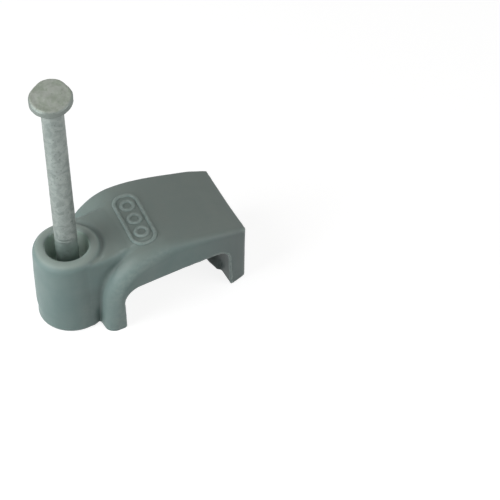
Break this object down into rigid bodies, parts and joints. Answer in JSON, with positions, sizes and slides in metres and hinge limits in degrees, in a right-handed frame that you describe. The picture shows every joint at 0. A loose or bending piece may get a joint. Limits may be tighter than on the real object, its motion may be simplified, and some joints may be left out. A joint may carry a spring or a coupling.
{
  "type": "nail-in cable clip",
  "caption": "Moulded clip that bridges a flat cable on a wall: an arch with a retaining nib on its far leg, and a round boss beside it that carries a masonry nail, ready to be driven.",
  "frame": {"origin": "on the nail's axis, in the wall plane that the clip's feet stand on", "axes": "+X from the nail boss to the far leg, +Y along the cable, +Z away from the wall along the nail"},
  "size_m": [0.018, 0.0096, 0.0258],
  "materials": {
    "clip_plastic": "grey-green moulded plastic, satin, with soft light patches",
    "nail_steel": "dull galvanised steel, mottled light grey"
  },
  "bodies": {
    "clip": {"clip_body": "clip_plastic"},
    "nail": {"masonry_nail": "nail_steel"}
  },
  "joints": [
    {"name": "nail_drive", "type": "slide", "parent": "clip", "child": "nail", "axis": [0, 0, 1], "range_m": [-0.0169, 0]}
  ]
}
